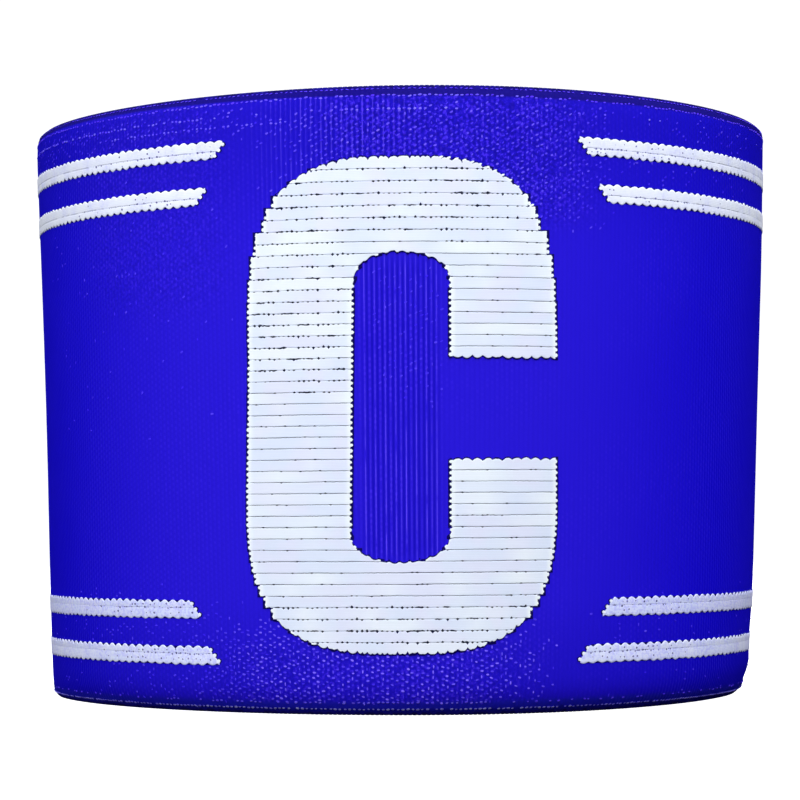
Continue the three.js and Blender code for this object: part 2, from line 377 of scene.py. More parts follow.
def bead_template():
    """A unit bead: two poles, two rings."""
    ring = np.stack([np.cos(TURN), np.sin(TURN), 0 * TURN], -1)
    rings = [ring * [0.85, 0.85, 0] + [0, 0, -0.5], ring * [0.9, 0.9, 0] + [0, 0, 0.45]]
    points = np.concatenate([[[0, 0, -0.8]], *rings, [[0, 0, 1]]])
    a = 1 + np.arange(AROUND)
    b = 1 + (np.arange(AROUND) + 1) % AROUND
    quads = np.stack([a, b, b + AROUND, a + AROUND], -1)
    top = len(points) - 1
    triangles = np.concatenate([
        np.stack([0 * a, b, a], -1), np.stack([0 * a + top, a + AROUND, b + AROUND], -1),
    ])
    return points, quads, triangles


def add_beads(shape, s, z, h, size, tilt=0, tone=0.5):
    """Small mounds of yarn. size holds the half lengths along, up and out for each bead."""
    template, quads, triangles = bead_template()
    count = len(s)
    size = np.broadcast_to(size, (count, 3))
    tilt = spread(tilt, count)
    local = template[None] * size[:, None, :]
    along = local[..., 0] * np.cos(tilt) - local[..., 1] * np.sin(tilt)
    up = local[..., 0] * np.sin(tilt) + local[..., 1] * np.cos(tilt)
    height = spread(h, count) + local[..., 2]
    points = on_wall(s[:, None] + along, z[:, None] + up, height)
    first = (np.arange(count) * len(template))[:, None, None]
    tones = np.repeat(spread(tone, count), len(template))
    shape.add(points, [(quads + first).reshape(-1, 4), (triangles + first).reshape(-1, 3)], tones)


def add_thread(shape, s, z, radius, thickness, tone):
    """A thread through points given by s, z and radius. thickness holds its two half widths:
    along the band, and square to it."""
    path = np.stack([s, z, radius], -1)
    tangent = np.gradient(path, axis=0)
    tangent /= np.linalg.norm(tangent, axis=1)[:, None]
    along = np.array([1.0, 0, 0])
    square = np.cross(along, tangent)
    square /= np.linalg.norm(square, axis=1)[:, None]
    wide = thickness[0] * np.cos(TURN)[None, :, None] * along
    deep = thickness[1] * np.sin(TURN)[None, :, None] * square[:, None, :]
    points = path[:, None, :] + wide + deep
    points = to_space(points[..., 0], points[..., 1], points[..., 2])
    shape.add(points, tube_faces(len(path), AROUND), tone)


# The letter's outline

def corner_share(reach, corner):
    power = corner["power"]
    return (1 - np.clip(reach, 0, 1) ** power) ** (1 / power)


def leaning(line, z):
    return np.maximum(line["start"] + line["lean"] * z, line["least"])


def straight_edge(outline, s, z):
    """Distance of an outline from the front line at height z, on the side that s is on."""
    return np.where(s > 0, leaning(outline["right"], z), leaning(outline["left"], z))


def edge(outline, s, z):
    """The same with rounded corners."""
    upper = outline["upper"]
    lower = outline["lower"]
    above = corner_share((z - outline["high"]) / upper["height"] + 1, upper)
    below = corner_share((outline["low"] - z) / lower["height"] + 1, lower)
    return straight_edge(outline, s, z) * np.minimum(above, below)


def arc(outline, s, up):
    """Height of an outline's rounded end at each place. up is 1 for the upper end, or -1."""
    end = outline["high" if up > 0 else "low"]
    corner = outline["upper" if up > 0 else "lower"]
    share = corner_share(np.abs(s) / straight_edge(outline, s, end), corner)
    return end - up * corner["height"] * (1 - share)


def row_lines():
    """Heights of the lines between the letter's rows, from the bottom."""
    share = np.arange(ARM_ROWS + 1) / ARM_ROWS
    upper = share + UPPER_EASE * share * (share - 1)
    lower = share + LOWER_EASE * share * (share - 1)
    upper = MOUTH_HIGH + (LETTER["high"] - MOUTH_HIGH) * upper
    lower = MOUTH_LOW - (MOUTH_LOW - LETTER["low"]) * lower
    middle = np.linspace(MOUTH_LOW, MOUTH_HIGH, MOUTH_ROWS + 1)
    return np.concatenate([lower[::-1], middle[1:-1], upper])


ROW_LINES = row_lines()
LETTER_ROWS = len(ROW_LINES) - 1


COLUMN = RIB / 3  # between two places along a row at which its edges are set
COLUMNS_HALF = int(LETTER_REACH / COLUMN)
COLUMN_PLACES = np.arange(-COLUMNS_HALF, COLUMNS_HALF + 1) * COLUMN


def slow_noise(count, step):
    """Random values from -1 to 1 that change smoothly over the given number of places."""
    knots = uniform(-1, 1, count // step + 3)
    return np.interp(np.arange(count) / step, np.arange(len(knots)), knots)


EDGE_NOISE = 0.09 * slow_noise(len(COLUMN_PLACES), 4)


def scallop(s, phase=0.0):
    """The rounded, uneven steps of yarn along an edge that runs with the rows, two ribs each."""
    ragged = np.interp(s, COLUMN_PLACES, EDGE_NOISE) * math.cos(9 * phase)
    return 0.13 * (2 * np.abs(np.sin(math.pi * (s / (2 * RIB) + phase))) - 1.2) + ragged


def notches(phase, reach):
    """Places of the notches between those steps."""
    count = int(reach / (2 * RIB))
    return (np.arange(-count, count + 1) - phase) * 2 * RIB


def row_reach(row, side):
    """How far a row reaches to one side, and whether it ends there in a step. Otherwise it
    tapers out along the letter's arc."""
    upper_half = row > LETTER_ROWS / 2
    from_end = LETTER_ROWS - 1 - row if upper_half else row
    pair_line = 2 * (from_end // 2) + 1
    pair_height = ROW_LINES[LETTER_ROWS - pair_line if upper_half else pair_line]
    height = (ROW_LINES[row] + ROW_LINES[row + 1]) / 2
    slope = abs(edge(LETTER, side, height + 0.5) - edge(LETTER, side, height - 0.5))
    if upper_half and slope < PAIR_SLOPE:
        return edge(LETTER, side, pair_height), True
    return edge(LETTER, side, height), slope < STEP_SLOPE


def row_height(row, share):
    """Height at a share of a row's own height."""
    return ROW_LINES[row] + (ROW_LINES[row + 1] - ROW_LINES[row]) * share


def letter_spans(row, s):
    """Lower and upper edge of one row at places s. A row is absent where they cross."""
    low = np.full_like(s, ROW_LINES[row])
    high = np.full_like(s, ROW_LINES[row + 1])
    middle = (ROW_LINES[row] + ROW_LINES[row + 1]) / 2
    absent = np.zeros(s.shape, bool)
    for side in (-1, 1):
        reach, stepped = row_reach(row, side)
        here = s * side > 0
        if stepped:
            absent |= here & (s * side > reach - TOOTH / 2)
        else:
            high = np.where(here, np.minimum(high, arc(LETTER, s, 1) + scallop(s)), high)
            low = np.where(here, np.maximum(low, arc(LETTER, s, -1) - scallop(s, 0.5)), low)
    right = s > 0
    inside = np.abs(s) < straight_edge(COUNTER, s, middle) + TOOTH / 2
    if middle > (COUNTER["low"] + COUNTER["high"]) / 2:
        low = np.where(inside, np.maximum(low, arc(COUNTER, s, 1) + scallop(s, 0.25)), low)
    else:
        high = np.where(inside, np.minimum(high, arc(COUNTER, s, -1) - scallop(s, 0.25)), high)
    if MOUTH_LOW < middle < MOUTH_HIGH:
        absent |= right
    if row == ARM_ROWS + MOUTH_ROWS:
        low = np.where(right & ~inside, low - scallop(s), low)
    if row == ARM_ROWS - 1:
        high = np.where(right & ~inside, high + scallop(s), high)
    return low, np.where(absent, low - 1, high)


def runs_of(row, least):
    """Stretches of s over which a row is there and thicker than least."""
    fine = np.linspace(-LETTER_REACH, LETTER_REACH, SAMPLES)
    low, high = letter_spans(row, fine)
    there = np.concatenate([[False], high - low > least, [False]])
    starts = np.flatnonzero(there[1:] & ~there[:-1])
    ends = np.flatnonzero(~there[1:] & there[:-1]) - 1
    return [(fine[a], fine[b]) for a, b in zip(starts, ends) if fine[b] - fine[a] > RIB]


# Letter: rows of white yarn with fine gaps between them

def dottedness(z, s):
    """How far the line between two rows is broken into dots, from 0 to 1."""
    top = smooth((z - 50) / 6)
    bottom = smooth((15 - z) / 5)
    left = smooth((-5 - s) / 3) * smooth((z - 33) / 8)
    return strongest(np.broadcast_arrays(top, bottom, left))


def dots(where, share, least, most):
    """Widths of dots, at a random share of the places where they may be."""
    count = len(where)
    return where * (random.random(count) < share) * uniform(least, most, count)


def line_gaps():
    """Width of the gap under each row at each column."""
    gaps = []
    count = len(COLUMN_PLACES)
    on_rib = np.arange(count) % 3 == 0
    for line in range(LETTER_ROWS + 1):
        dotted = dottedness(ROW_LINES[line], COLUMN_PLACES) + 0.45 * slow_noise(count, 14)
        dotted = smooth((dotted - 0.3) / 0.3)
        solid = 0.046 + 0.015 * slow_noise(count, 5)
        small = dots(on_rib, 0.75, 0.06, 0.24)
        big = dots(on_rib, 0.2, 0.22, 0.38)
        in_dash = np.convolve(random.random(count) < 0.035, np.ones(4), "same") > 0
        dash = in_dash * uniform(0.08, 0.17, count)
        broken = 0.008 + strongest([big, small, dash])
        flaw = on_rib * (random.random(count) < 0.15) * 0.1
        gaps.append(np.maximum(solid + flaw, 0) * (1 - dotted) + broken * dotted)
    return gaps


LINE_GAPS = line_gaps()


def line_wander(gap):
    """Rise and fall of one line. Its dots reach farther to one side than to the other."""
    count = len(COLUMN_PLACES)
    return 0.025 * slow_noise(count, 12) + gap * uniform(-0.3, 0.3, count)


LINE_WANDER = [line_wander(gap) for gap in LINE_GAPS]
ROW_PROFILE = [
    (0, 0), (0.015, 0.88), (0.05, 1), (0.12, 1), (0.5, 0.985),
    (0.88, 1), (0.95, 1), (0.985, 0.88), (1, 0),
]
TURN_HEIGHT = YARN_BASE + 0.05  # of the middle of the white yarn's turns
# Height of the dark beads that paint the shade in the notches between the turns
NOTCH_SHADE_HEIGHT = YARN_BASE + 0.045


def columns_between(start, end):
    """The columns between two places, and those places themselves."""
    inner = COLUMN_PLACES[(COLUMN_PLACES > start + 0.04) & (COLUMN_PLACES < end - 0.04)]
    return np.concatenate([[start], inner, [end]])


def row_runs(least):
    """Each stretch of each row, with its columns and its lower and upper edge at them."""
    for row in range(LETTER_ROWS):
        for start, end in runs_of(row, least):
            s = columns_between(start, end)
            low, high = letter_spans(row, s)
            yield row, s, low, high


def letter_piece(material):
    shape = Shape()
    for row, s, low, high in row_runs(0.14):
        from_end = np.minimum(s - s[0], s[-1] - s)
        free = smooth(from_end / 0.5)
        below, above = (np.interp(s, COLUMN_PLACES, LINE_GAPS[row + i]) * free / 2 for i in (0, 1))
        low_line, high_line = (np.interp(s, COLUMN_PLACES, LINE_WANDER[row + i]) for i in (0, 1))
        low = low + below + low_line * free
        high = high - above + high_line * free
        tone = 0.5 + 0.25 * slow_noise(len(s), 20) + uniform(-0.15, 0.15)
        tone = tone + (1 - tone) * (1 - smooth(from_end / 0.7)) * 0.8
        add_strip(shape, s, low, high, ROW_PROFILE, tone=tone)
    s, z = row_ends()
    add_turns(shape, s - np.sign(s) * 0.1, z, (0.2, 0.27))
    s, z = counter_ends()
    add_turns(shape, s + np.sign(s) * 0.12, z, (0.24, 0.34))
    s = np.arange(4.5, 15.5, 1.5 * RIB)
    size = (0.36, 0.15, 0.07)
    add_beads(shape, s, arc(LETTER, s, 1) - 0.06, TURN_HEIGHT, size, 0.45, 0.9)
    letter = shape.piece("letter_rows", material)
    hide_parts("captain_letter")


def add_turns(shape, s, z, reach):
    """The turns of the white yarn at the ends of the rows."""
    count = len(s)
    along = uniform(*reach, count)
    size = np.stack([along, uniform(0.2, 0.27, count), np.full(count, 0.075)], -1)
    tilt = uniform(-0.25, 0.25, count)
    add_beads(shape, s + uniform(-0.05, 0.05, count), z, TURN_HEIGHT, size, tilt, 0.95)


ROWS_AND_SIDES = [(row, side) for row in range(LETTER_ROWS) for side in (-1, 1)]


def row_ends(share=(0.25, 0.75)):
    """Places on the letter's outer sides where rows end in steps, at shares of their height."""
    places = []
    for row, side in ROWS_AND_SIDES:
        reach, stepped = row_reach(row, side)
        in_mouth = side > 0 and ARM_ROWS <= row < ARM_ROWS + MOUTH_ROWS
        if stepped and not in_mouth:
            z = row_height(row, np.array(share))
            lean = np.clip(edge(LETTER, side, z) - reach, -0.4, 0.2) / 2
            places += list(zip(side * (reach + lean), z))
    return np.array(places).T


def counter_ends(share=(0.25, 0.75)):
    """The same on the sides of the counter, where they are steep enough."""
    places = []
    for row, side in ROWS_AND_SIDES:
        for z in row_height(row, np.array(share)):
            in_mouth = side > 0 and MOUTH_LOW < z < MOUTH_HIGH
            if COUNTER["low"] + 1.2 < z < COUNTER["high"] - 1.2 and not in_mouth:
                places.append((side * edge(COUNTER, side, z), z))
    return np.array(places).T


# Dark sheets and beads that paint the shade between the rows, round the letter and in its notches

FLAT_PROFILE = [(0, 0), (0.06, 1), (0.94, 1), (1, 0)]
# Rise of the dark sheets that paint the shade in the lines between rows
LINE_SHADE_RISE = 0.004


def letter_shade_piece(material):
    """A dark blue sheet under each row, a little wider than the row, that shows round the letter
    as a painted shadow outline, and a dark bead in each notch between two turns of the white yarn,
    as painted shade there."""
    shape = Shape()
    for _, s, low, high in row_runs(0.1):
        s[0] -= SHADE_SHEET_MARGIN + TOOTH
        s[-1] += SHADE_SHEET_MARGIN + TOOTH
        low = low - SHADE_SHEET_MARGIN
        high = np.maximum(high, low + 0.1) + SHADE_SHEET_MARGIN
        add_strip(shape, s, low, high, FLAT_PROFILE, SHADE_SHEET_RISE, SHADE_SHEET_BASE)
    outer_s, outer_z = row_ends((0, 0.5))
    inner_s, inner_z = counter_ends((0, 0.5))
    s = np.concatenate([outer_s - np.sign(outer_s) * 0.03, inner_s + np.sign(inner_s) * 0.05])
    z = np.concatenate([outer_z, inner_z])
    size = np.array([0.22, 0.11, 0.05]) * uniform(0.8, 1.2, (len(s), 1))
    add_beads(shape, s, z, NOTCH_SHADE_HEIGHT, size)
    edges = (
        (LETTER, 1, 0.0, 12.0),
        (LETTER, -1, 0.5, 12.0),
        (COUNTER, 1, 0.25, 4.2),
        (COUNTER, -1, 0.25, 4.2),
    )
    for outline, up, phase, reach in edges:
        s = notches(phase, reach)
        z = arc(outline, s, up) + up * scallop(s, phase) - up * 0.02
        size = np.array([0.1, 0.15, 0.05]) * uniform(0.8, 1.3, (len(s), 1))
        add_beads(shape, s, z, NOTCH_SHADE_HEIGHT, size)
    shape.piece("letter_painted_shade", material)


def line_shade_piece(material):
    """Under each line between two rows runs a near-black sheet, seen through the gaps as painted
    shade in them.
    """
    shape = Shape()
    for row in range(LETTER_ROWS - 1):
        for start, end in runs_of(row, 0.3):
            for other_start, other_end in runs_of(row + 1, 0.3):
                a = max(start, other_start) + 0.35
                b = min(end, other_end) - 0.35
                if b - a < 1:
                    continue
                s = np.linspace(a, b, int((b - a) / 0.8) + 2)
                z = np.full_like(s, ROW_LINES[row + 1])
                base = SHADE_SHEET_BASE + SHADE_SHEET_RISE
                add_strip(shape, s, z - 0.14, z + 0.14, FLAT_PROFILE, LINE_SHADE_RISE, base)
    shape.piece("letter_line_shade", material)


# Stripes: two rows of looped white yarn, mirrored between the rims

STRIPE_PROFILE = [(0, 0), (0.02, 0.8), (0.14, 1), (0.6, 1), (0.86, 0.93), (0.97, 0.7), (1, 0)]


def on_side(stripe, side):
    """A stripe on one side, with the height of its middle and of the line between its two
    rows, the distances of its front and back ends, and the way to its rim."""
    inset = STRIPE_INSET + stripe["row"] * STRIPE_PITCH
    middle = BAND_HEIGHT - inset if stripe["upper"] else inset
    toward_rim = 1 if stripe["upper"] else -1
    return SimpleNamespace(
        **stripe,
        side=side,
        toward_rim=toward_rim,
        middle=middle,
        split=middle - toward_rim * STRIPE_HEIGHT * (STRIPE_SPLIT - 0.5),
        front=STRIPE_FROM + (stripe["right"] if side > 0 else stripe["left"]),
        back=STRIP_HALF - LAP - SEAM_STEP if side > 0 else STRIP_HALF - 0.05,
    )


STRIPE_SIDES = [on_side(stripe, side) for stripe in STRIPES for side in (-1, 1)]


def loops(distance, pitch):
    """Rounded bumps along an edge with sharp notches between, about 0 on average."""
    return np.abs(np.sin(math.pi * distance / pitch)) - 0.6


def stripe_rows(stripe):
    """For its two rows: distances, lower and upper edge, the edge of the dark sheet behind that
    paints their shadow outline, how full the yarn is, and which way the looped edge faces."""
    middle, front, toward_rim = stripe.middle, stripe.front, stripe.toward_rim
    distance = np.arange(front - STRIPE_SLANT / 2, stripe.back, stripe.loop / 8)
    distance[-1] = stripe.back
    count = len(distance)
    index = np.arange(count)
    big = dots(index % 8 == 4, 0.75, 0.06, 0.17)
    fine = dots(index % 4 == 2, 0.5, 0.03, 0.08)
    fade = 1 - smooth((distance - front - 8) / 24)
    opening = -0.05 + (0.045 + 0.03 * slow_noise(count, 12) + big + fine) * fade
    slant = middle + toward_rim * (front - distance) / STRIPE_SLANT * STRIPE_HEIGHT
    clip = np.maximum if stripe.upper else np.minimum
    rows = []
    for facing, phase, depth in ((toward_rim, 0.0, 0.25), (-toward_rim, 0.5, 0.36)):
        bumps = loops(distance + phase * stripe.loop, stripe.loop)
        ragged = 0.06 * slow_noise(count, 4)
        looped = middle + facing * (STRIPE_HEIGHT / 2 + depth * bumps + ragged)
        reach = STRIPE_HEIGHT / 2 + depth * STRIPE_SHADE_LEVEL
        behind = np.full(count, middle + facing * reach)
        inner = stripe.split + facing * opening / 2
        if facing == toward_rim:
            inner = clip(inner, slant)
        else:
            looped = clip(looped, slant)
            behind = clip(behind, slant)
        low, high = (inner, looped) if facing > 0 else (looped, inner)
        keep = high - low > 0.12
        full = 0.82 + 0.18 * (bumps + 0.6)
        values = [value[keep] for value in (stripe.side * distance, low, high, behind, full)]
        rows.append((values, facing))
    return rows


def stripe_pieces(white, dark):
    """Each stripe has a wider row toward its rim, and one with deeper loops away from it.
    They lie on a dark blue sheet that shows at their edges as a painted shadow outline."""
    shade_sheet = Shape()
    for stripe in STRIPE_SIDES:
        shape = Shape()
        for values, facing in stripe_rows(stripe):
            s, low, high, behind, full = (value[::stripe.side] for value in values)
            tone = np.clip(stripe.tone + 0.15 * slow_noise(len(s), 9), 0, 1)
            profile = STRIPE_PROFILE
            if facing < 0:
                profile = [(1 - share, lift) for share, lift in STRIPE_PROFILE[::-1]]
            add_strip(shape, s, low, high, profile, STRIPE_RISE * full, STRIPE_BASE, tone)
            low, high = (low, behind) if facing > 0 else (behind, high)
            add_strip(shade_sheet, s, low, high, FLAT_PROFILE, SHADE_SHEET_RISE, STRIPE_SHADE_SHEET_BASE)
        add_stripe_end(shape, shade_sheet, stripe)
        name = f"stripe_{stripe.name}_{'left' if stripe.side < 0 else 'right'}"
        made = shape.piece(f"{name}_yarn", white)
        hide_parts(name)
    shade_sheet.piece("stripe_painted_shadow", dark)


def add_stripe_end(shape, shade_sheet, stripe):
    """The yarn's turns down the slanted end, with a dark sheet behind them that paints their
    shadow.
    """
    share = np.array([-0.34, -0.02, 0.3])
    z = stripe.middle + stripe.toward_rim * share * STRIPE_HEIGHT
    s = stripe.side * (stripe.front - share * STRIPE_SLANT - 0.03)
    tilt = stripe.side * stripe.toward_rim * 0.3
    add_beads(shape, s, z, STRIPE_BASE + 0.03, (0.34, 0.25, 0.06), tilt, 0.9)
    s = s - stripe.side * 0.04
    add_beads(shade_sheet, s, z, STRIPE_SHADE_SHEET_BASE + 0.01, (0.48, 0.38, 0.012), tilt)


def stripe_line_shade_piece(material):
    """A dark sheet under the line between a stripe's two rows, seen through the gap as painted
    shade.
    """
    shape = Shape()
    base = STRIPE_SHADE_SHEET_BASE + SHADE_SHEET_RISE
    for stripe in STRIPE_SIDES:
        distance = np.arange(stripe.front + 0.7, stripe.back - 0.3, 1.0)
        z = np.full_like(distance, stripe.split)
        s = (stripe.side * distance)[::stripe.side]
        add_strip(shape, s, z - 0.12, z + 0.12, FLAT_PROFILE, LINE_SHADE_RISE, base)
    shape.piece("stripe_line_shade", material)


def stripe_dots_piece(material):
    """Dots of dark yarn between the loops, fewer and fewer toward the sides."""
    shape = Shape()
    height = STRIPE_BASE + 0.88 * STRIPE_RISE
    for stripe in STRIPE_SIDES:
        front = stripe.front
        for share, part in ((-0.3, 0.55), (-0.1, 1.0), (0.2, 0.7)):
            distance = np.arange(front + 0.7 - share, front + 28, stripe.loop / 2)
            fade = 1 - smooth((distance - front) / 26)
            distance = distance[random.random(len(distance)) < stripe.dotted * part * fade]
            count = len(distance)
            distance = distance + uniform(-0.12, 0.12, count)
            z = stripe.middle + stripe.toward_rim * share * STRIPE_HEIGHT
            z = z + uniform(-0.1, 0.1, count)
            size = uniform(0.075, 0.145, (count, 1)) * [1.2, 1, 0.15]
            tone = uniform(0, 1, count)
            add_beads(shape, stripe.side * distance, z, height, size, 0.3 * stripe.side, tone)
    shape.piece("stripe_dots", material)


# Floats: short lengths of brighter yarn that stand on the ribs

def inside_letter(s, z, margin):
    outer = edge(LETTER, s, z) + margin
    inner = edge(COUNTER, s, z) - margin
    within = (np.abs(s) < outer) & (z > LETTER["low"] - margin) & (z < LETTER["high"] + margin)
    counter = (np.abs(s) < inner) & (z > COUNTER["low"] + margin) & (z < COUNTER["high"] - margin)
    mouth = (s > 0) & (z > MOUTH_LOW + margin) & (z < MOUTH_HIGH - margin)
    return within & ~counter & ~mouth


def inside_stripe(s, z, margin):
    inside = np.zeros(np.shape(s), bool)
    for stripe in STRIPE_SIDES:
        near = np.abs(z - stripe.middle) < STRIPE_HEIGHT / 2 + margin
        inside |= near & (stripe.side * s > stripe.front - STRIPE_SLANT / 2 - margin)
    return inside


# In the counter, above and below the letter, on the left, along its rim, high on the right,
# low on the left, and fainter low on both sides
FLOAT_FIELDS = [
    field(0.3, (-3, 4.8, 3), (36, 50, 5)),
    field(1.0, (-11, 23, 14), (55.5, 69, 7)),
    field(1.0, (-25, 14, 14), (0.8, 9.5, 4)),
    field(0.035, (-50, -19, 10), (34, 69, 10)),
    field(0.4, (-58, -14, 12), (65, 69, 2)),
    field(0.2, (22, 50, 10), (60, 69, 4)),
    field(0.22, (-46, -20, 14), (1, 12, 6)),
    field(0.07, (-62, -20, 14), (1, 12, 6)),
    field(0.07, (20, 62, 14), (1, 12, 6)),
]
FLOAT_COLUMNS = 120  # ribs to each side of the front that may carry floats


def floats_piece(material):
    shape = Shape()
    column = np.arange(-FLOAT_COLUMNS, FLOAT_COLUMNS + 1)
    pick = np.arange(2, int(BAND_HEIGHT / PICK) - 2)
    column, pick = (a.ravel() for a in np.meshgrid(column, pick))
    s = column * RIB
    z = (pick + 0.5 * (column % 2)) * PICK
    strength = all_fields(FLOAT_FIELDS, s, z)
    patch = 0.5 + 0.5 * np.sin(s * 0.9 + 2 * np.sin(z * 0.7)) * np.cos(z * 1.1 + np.sin(s * 0.6))
    show = random.random(len(s)) < strength * (0.7 + 0.7 * patch)
    show &= ~inside_letter(s, z, 0.35) & ~inside_stripe(s, z, 0.25)
    s, z = s[show], z[show]
    count = len(s)
    fainter = box_share(s, -4.6, 5, 1) * box_share(z, 30, 52, 1) + smooth((np.abs(s) - 17) / 8)
    tone = (random.beta(1.3, 4.2, count) + 0.03) * (1 - 0.55 * np.clip(fainter, 0, 1))
    tone = np.clip(tone * (1 + 0.9 * box_share(s, -18, 18, 6) * box_share(z, 0, 11, 2)), 0, 1)
    upright = random.random(count) < 0.2
    size = np.stack([
        np.where(upright, 0.09, uniform(0.16, 0.25, count)),
        np.where(upright, uniform(0.16, 0.24, count), uniform(0.09, 0.14, count)),
        np.full(count, 0.045),
    ], -1)
    tilt = np.where(upright, 0, np.where(z > 35, 0.6, -0.1) + random.normal(0, 0.2, count))
    s = s + uniform(-0.11, 0.11, count)
    z = z + uniform(-0.12, 0.12, count)
    add_beads(shape, s, z, rib_relief(s, z), size, tilt, tone)
    shape.piece("webbing_floats", material)


# Selvedges: loops wrapped over each rim, and rows of small stitches beside them

def rim_loops(shape, upper):
    """One flat loop of yarn over the rim for each rib, side by side."""
    turn = np.linspace(-0.15, math.pi + 0.15, 7)
    reach_out = 0.66
    reach_up = 0.42
    rim = BAND_HEIGHT if upper else 0
    sign = 1 if upper else -1
    for rib in range(-RIBS // 2, RIBS // 2):
        s = np.full(len(turn), (rib + 0.5) * RIB) + np.linspace(-0.08, 0.08, len(turn))
        z = rim - sign * reach_up + sign * np.sin(turn) * reach_up
        middle = centre_radius(s, np.full(len(turn), rim - sign * 0.3))
        radius = middle + np.cos(turn) * reach_out
        add_thread(shape, s, z, radius, (0.33, 0.1), uniform(0, 1))


def along_band(base, more=0, *places):
    """A value for each s: base, and more of it in the given places."""
    return lambda s: base + more * sum(box_share(s, *place) for place in places)


# Shares of the ribs that carry a stitch, and how bright the stitches are. Their light tone is
# partly the yarn's own, partly painted highlight, stronger toward the front
WHOLE = along_band(0.93)
PARTLY = along_band(0.15, 0.6, (-60, -17, 8), (-8.5, 5, 2))
LEFT_ONLY = along_band(0, 0.7, (-40, -13, 5))
SPARSE = along_band(0.3, 0.3, (-14, 24, 12))
EVEN = along_band(1)
BRIGHT_FRONT = along_band(0.25, 0.75, (-26, 18, 12))
BRIGHTER_FRONT = along_band(0.6, 0.4, (-26, 18, 12))


def stitch_row(shape, z, jitter, size, tones, share, glow=EVEN):
    """Small stitches on the ribs at one height. jitter is how unevenly they sit, and tones
    the range of their tones."""
    s = np.arange(-RIBS // 2, RIBS // 2) * RIB
    s = s[random.random(len(s)) < share(s)]
    count = len(s)
    sizes = np.array(size) * uniform(0.7, 1.15, (count, 1))
    place_z = z + uniform(-jitter, jitter, count)
    place_s = s + uniform(-0.05, 0.05, count)
    tone = uniform(*tones, count) * glow(s)
    add_beads(shape, place_s, place_z, 0.03, sizes, random.normal(0.1, 0.15, count), tone)


def upper_stitches(shape):
    top = BAND_HEIGHT
    stitch_row(shape, top - 0.38, 0.03, (0.21, 0.06, 0.08), (0.0, 0.1), WHOLE)
    stitch_row(shape, top - 1.2, 0.09, (0.24, 0.11, 0.05), (0.0, 0.26), WHOLE, BRIGHT_FRONT)
    stitch_row(shape, top - 2.68, 0.08, (0.19, 0.13, 0.06), (0.04, 0.34), PARTLY)
    stitch_row(shape, top - 3.8, 0.08, (0.17, 0.12, 0.05), (0.04, 0.3), LEFT_ONLY)


def lower_stitches(shape):
    stitch_row(shape, 0.62, 0.03, (0.22, 0.12, 0.09), (0.55, 1.0), WHOLE, BRIGHTER_FRONT)
    stitch_row(shape, 1.35, 0.06, (0.2, 0.12, 0.06), (0.05, 0.3), SPARSE, BRIGHT_FRONT)


def selvedge_pieces(loop_material, stitch_material):
    for name, add_stitches in (("upper", upper_stitches), ("lower", lower_stitches)):
        shape = Shape()
        rim_loops(shape, name == "upper")
        shape.piece(f"selvedge_{name}", loop_material)
        shape = Shape()
        add_stitches(shape)
        shape.piece(f"selvedge_{name}_stitches", stitch_material)


# Seam: two lines of stitches through both layers of the lap

SEAM_LINE = 3.6  # from the middle of the lap to each line
SEAM_FROM_RIM = 1.6
SEAM_TO_RIM = 2.2
STITCH = 2.6
STITCH_GAP = 0.45
STITCH_THICKNESS = (0.17, 0.17)


def seam_piece(material):
    shape = Shape()
    back = math.pi * ARC_RADIUS
    share = np.linspace(0, math.pi, 9)
    lean = np.linspace(-0.08, 0.08, 9)
    lift = 0.03 - 0.25 * (1 - np.sin(share)) ** 3
    for from_middle in (-SEAM_LINE, SEAM_LINE):
        for start in np.arange(SEAM_FROM_RIM, BAND_HEIGHT - SEAM_TO_RIM, STITCH):
            z = np.linspace(start, start + STITCH - STITCH_GAP, 9)
            tone = uniform(0.3, 0.7)
            s = -back - from_middle + lean
            add_thread(shape, s, z, face_radius(s, z) + lift, STITCH_THICKNESS, tone)
            s = back - from_middle + lean
            radius = centre_radius(s, z) - half_thickness(z) - lift
            add_thread(shape, s, z, radius, STITCH_THICKNESS, tone)
    shape.piece("seam_stitches", material)


# Materials

SURROUND = 1.1  # brightness of the floor and of the white round it


